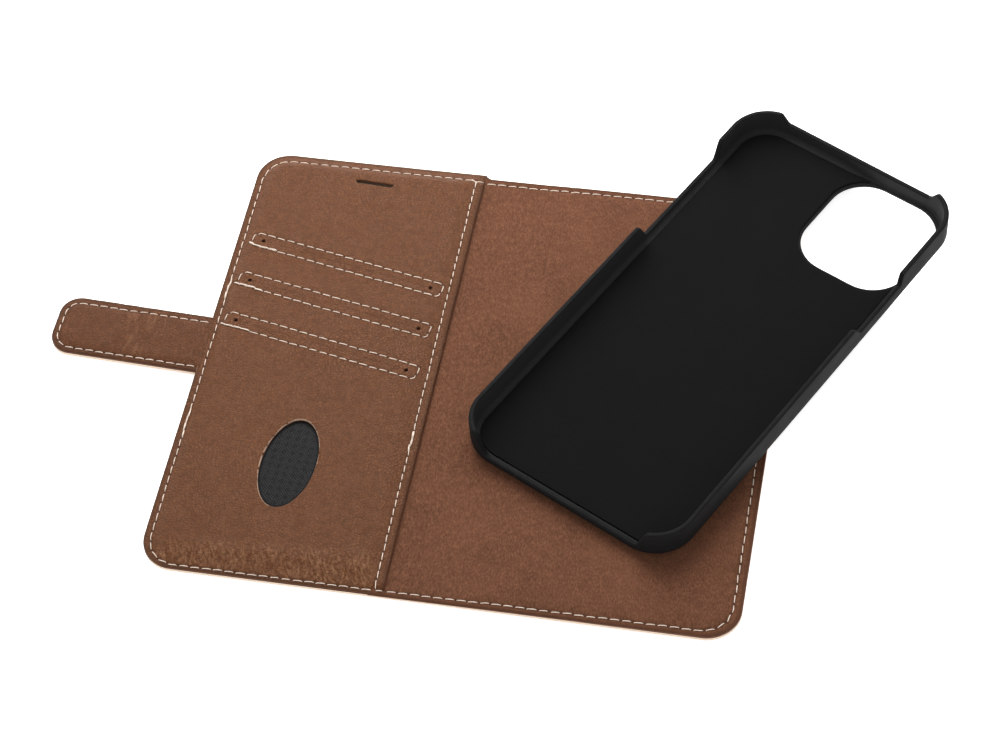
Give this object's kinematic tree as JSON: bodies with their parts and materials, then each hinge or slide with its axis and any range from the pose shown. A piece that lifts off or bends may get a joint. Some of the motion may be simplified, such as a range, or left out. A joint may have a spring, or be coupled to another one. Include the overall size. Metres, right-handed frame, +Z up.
{
  "type": "phone wallet case",
  "caption": "Folding leather wallet case with card slots, a magnetic clasp strap and a lift-out hard tray that holds a phone.",
  "frame": {"origin": "centre of the back cover's underside, on the plane that the open case lies on", "axes": "+X from the front cover towards the back cover, +Y up the phone's length, +Z up from the table"},
  "size_m": [0.2613, 0.1863, 0.0126],
  "materials": {
    "outer_leather": "waxed, fine pebble grain",
    "inner_leather": "waxed, fine pebble grain",
    "strap_leather": "waxed, fine pebble grain",
    "lining": "microfibre suede",
    "thread": "waxed cord, matte",
    "board": "pressed fibre board",
    "pocket_cloth": "thin woven lining",
    "mesh": "fine woven mesh",
    "tray_plastic": "soft-touch matte",
    "tray_lining": "short flocked microfibre",
    "steel": "thin sheet",
    "magnet": "nickel-plated magnet"
  },
  "bodies": {
    "back_cover": {"back_outer_leather": "outer_leather", "back_board": "board", "back_magnet_plate": "magnet", "back_lining": "lining", "back_edge_thread": "thread"},
    "spine": {"spine_outer_leather": "outer_leather", "spine_lining": "lining", "spine_thread_top": "thread", "spine_thread_bottom": "thread"},
    "front_cover": {"front_outer_leather": "outer_leather", "front_board": "board", "front_lining_margin": "lining", "pocket_lining_top": "pocket_cloth", "pocket_lining_middle": "pocket_cloth", "pocket_lining_bottom": "pocket_cloth", "thumb_window_mesh": "mesh", "front_inner_leather": "inner_leather", "front_edge_thread": "thread", "front_spine_side_thread": "thread", "slot_thread_top": "thread", "slot_thread_middle": "thread", "slot_thread_bottom": "thread", "strap_anchor_tab": "strap_leather"},
    "strap_side": {"strap_side_outer_leather": "strap_leather", "strap_side_filler": "board", "strap_side_inner_leather": "strap_leather", "strap_side_thread_upper": "thread", "strap_side_thread_lower": "thread"},
    "strap_tip": {"strap_tip_outer_leather": "strap_leather", "strap_clasp_magnet": "magnet", "strap_tip_inner_leather": "strap_leather", "strap_tip_thread": "thread"},
    "tray": {"tray_shell": "tray_plastic", "tray_steel_sheet": "steel", "tray_floor_lining": "tray_lining"}
  },
  "joints": [
    {"name": "spine_fold", "type": "hinge", "parent": "back_cover", "child": "spine", "pos_m": [-0.03875, 0, 0.0012], "axis": [0, 1, 0], "range_deg": [0, 90], "deforming": ["spine_outer_leather", "spine_lining", "spine_thread_top", "spine_thread_bottom"]},
    {"name": "front_cover_fold", "type": "hinge", "parent": "spine", "child": "front_cover", "pos_m": [-0.05375, 0, 0.0012], "axis": [0, 1, 0], "range_deg": [0, 90]},
    {"name": "strap_root_fold", "type": "hinge", "parent": "front_cover", "child": "strap_side", "pos_m": [-0.1319, 0, 0.0025], "axis": [0, 1, 0], "range_deg": [0, 90]},
    {"name": "strap_tip_fold", "type": "hinge", "parent": "strap_side", "child": "strap_tip", "pos_m": [-0.1475, 0, 0.0025], "axis": [0, 1, 0], "range_deg": [0, 90]},
    {"name": "tray_swivel", "type": "hinge", "parent": "back_cover", "child": "tray", "pos_m": [0.06549, -0.0241, 0.00305], "axis": [0, 0, 1], "range_deg": [-100, 27.15]}
  ]
}
